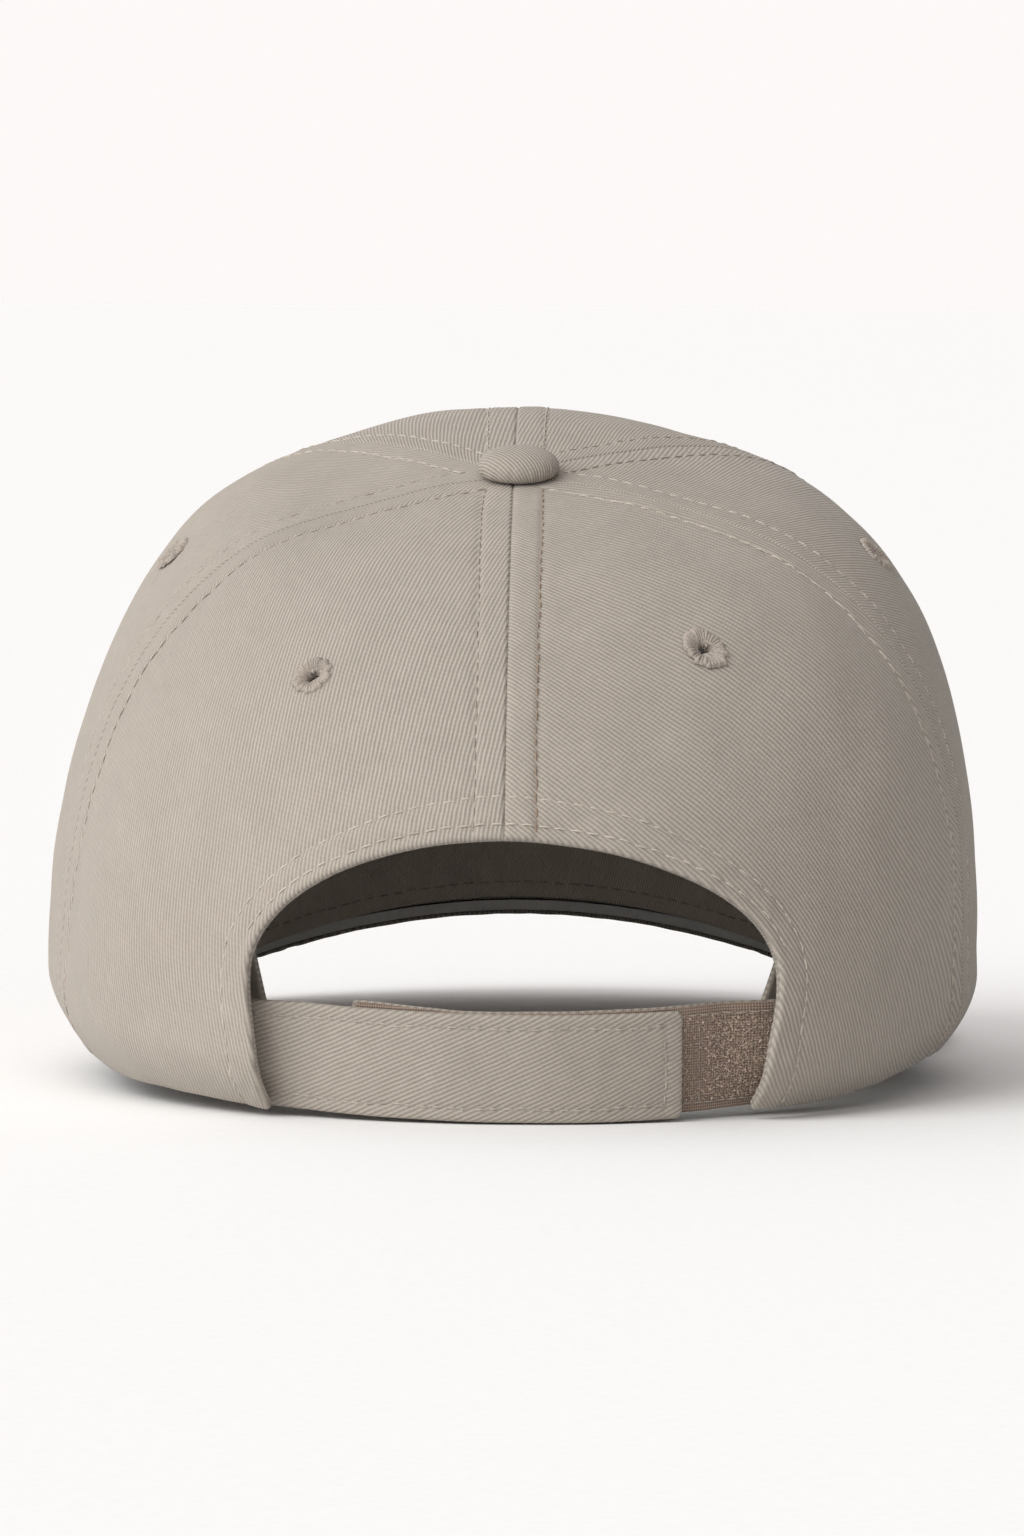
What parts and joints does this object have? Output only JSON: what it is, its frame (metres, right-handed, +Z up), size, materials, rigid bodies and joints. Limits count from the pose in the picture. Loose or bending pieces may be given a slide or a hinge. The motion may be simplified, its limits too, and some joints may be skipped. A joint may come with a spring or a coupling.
{
  "type": "baseball cap",
  "caption": "Structured six-panel baseball cap in stone twill with a curved visor, a covered button, vent eyelets and a back opening closed by a hook-and-loop strap.",
  "frame": {"origin": "middle of the head opening, on the surface that the cap stands on", "axes": "+Z up, +Y towards the back opening and its strap, -Y towards the visor, +X towards the wearer's left"},
  "size_m": [0.1768, 0.2749, 0.1268],
  "materials": {
    "twill": "matte cotton twill, stone",
    "buckram": "stiff open weave, white",
    "seam_tape": "plain woven tape, stone",
    "sweatband": "matte cotton twill, stone",
    "foam": "soft padding, white",
    "button_metal": "plain pressed metal",
    "thread": "satin embroidery thread",
    "visor_board": "plain moulded sheet",
    "hook_tape": "woven nylon hooks",
    "loop_tape": "fuzzy nylon loops"
  },
  "bodies": {
    "cap": {"front_panel_left": "twill", "front_panel_right": "twill", "side_panel_left": "twill", "side_panel_right": "twill", "back_panel_left": "twill", "back_panel_right": "twill", "opening_facing": "twill", "button_cover": "twill", "visor_top_cover": "twill", "visor_bottom_cover": "twill", "loop_strap_root": "twill", "front_buckram_left": "buckram", "front_buckram_right": "buckram", "seam_tape_front": "seam_tape", "seam_tape_front_left": "seam_tape", "seam_tape_front_right": "seam_tape", "seam_tape_back_left": "seam_tape", "seam_tape_back_right": "seam_tape", "seam_tape_back": "seam_tape", "sweatband": "sweatband", "sweatband_padding": "foam", "button_shell": "button_metal", "button_back": "button_metal", "button_washer": "button_metal", "eyelet_front_left": "thread", "eyelet_front_right": "thread", "eyelet_side_left": "thread", "eyelet_side_right": "thread", "eyelet_back_left": "thread", "eyelet_back_right": "thread", "visor_board": "visor_board"},
    "hook_carrier": {"hook_strap_root": "twill"},
    "hook_strap": {"hook_strap": "twill", "hook_patch": "hook_tape"},
    "loop_strap": {"loop_strap": "twill", "loop_tape": "loop_tape"}
  },
  "joints": [
    {"name": "closure_adjust", "type": "hinge", "parent": "cap", "child": "hook_carrier", "pos_m": [0, 0.03074, 0.01575], "axis": [0, 0.085, 0.9964], "range_deg": [-5, 10]},
    {"name": "closure_peel", "type": "hinge", "parent": "hook_carrier", "child": "hook_strap", "pos_m": [0.03561, 0.08752, 0.0109], "axis": [0, -0.085, -0.9964], "range_deg": [0, 90]},
    {"name": "loop_strap_swing", "type": "hinge", "parent": "cap", "child": "loop_strap", "pos_m": [-0.03949, 0.08111, 0.01145], "axis": [0, -0.085, -0.9964], "range_deg": [0, 50]}
  ]
}
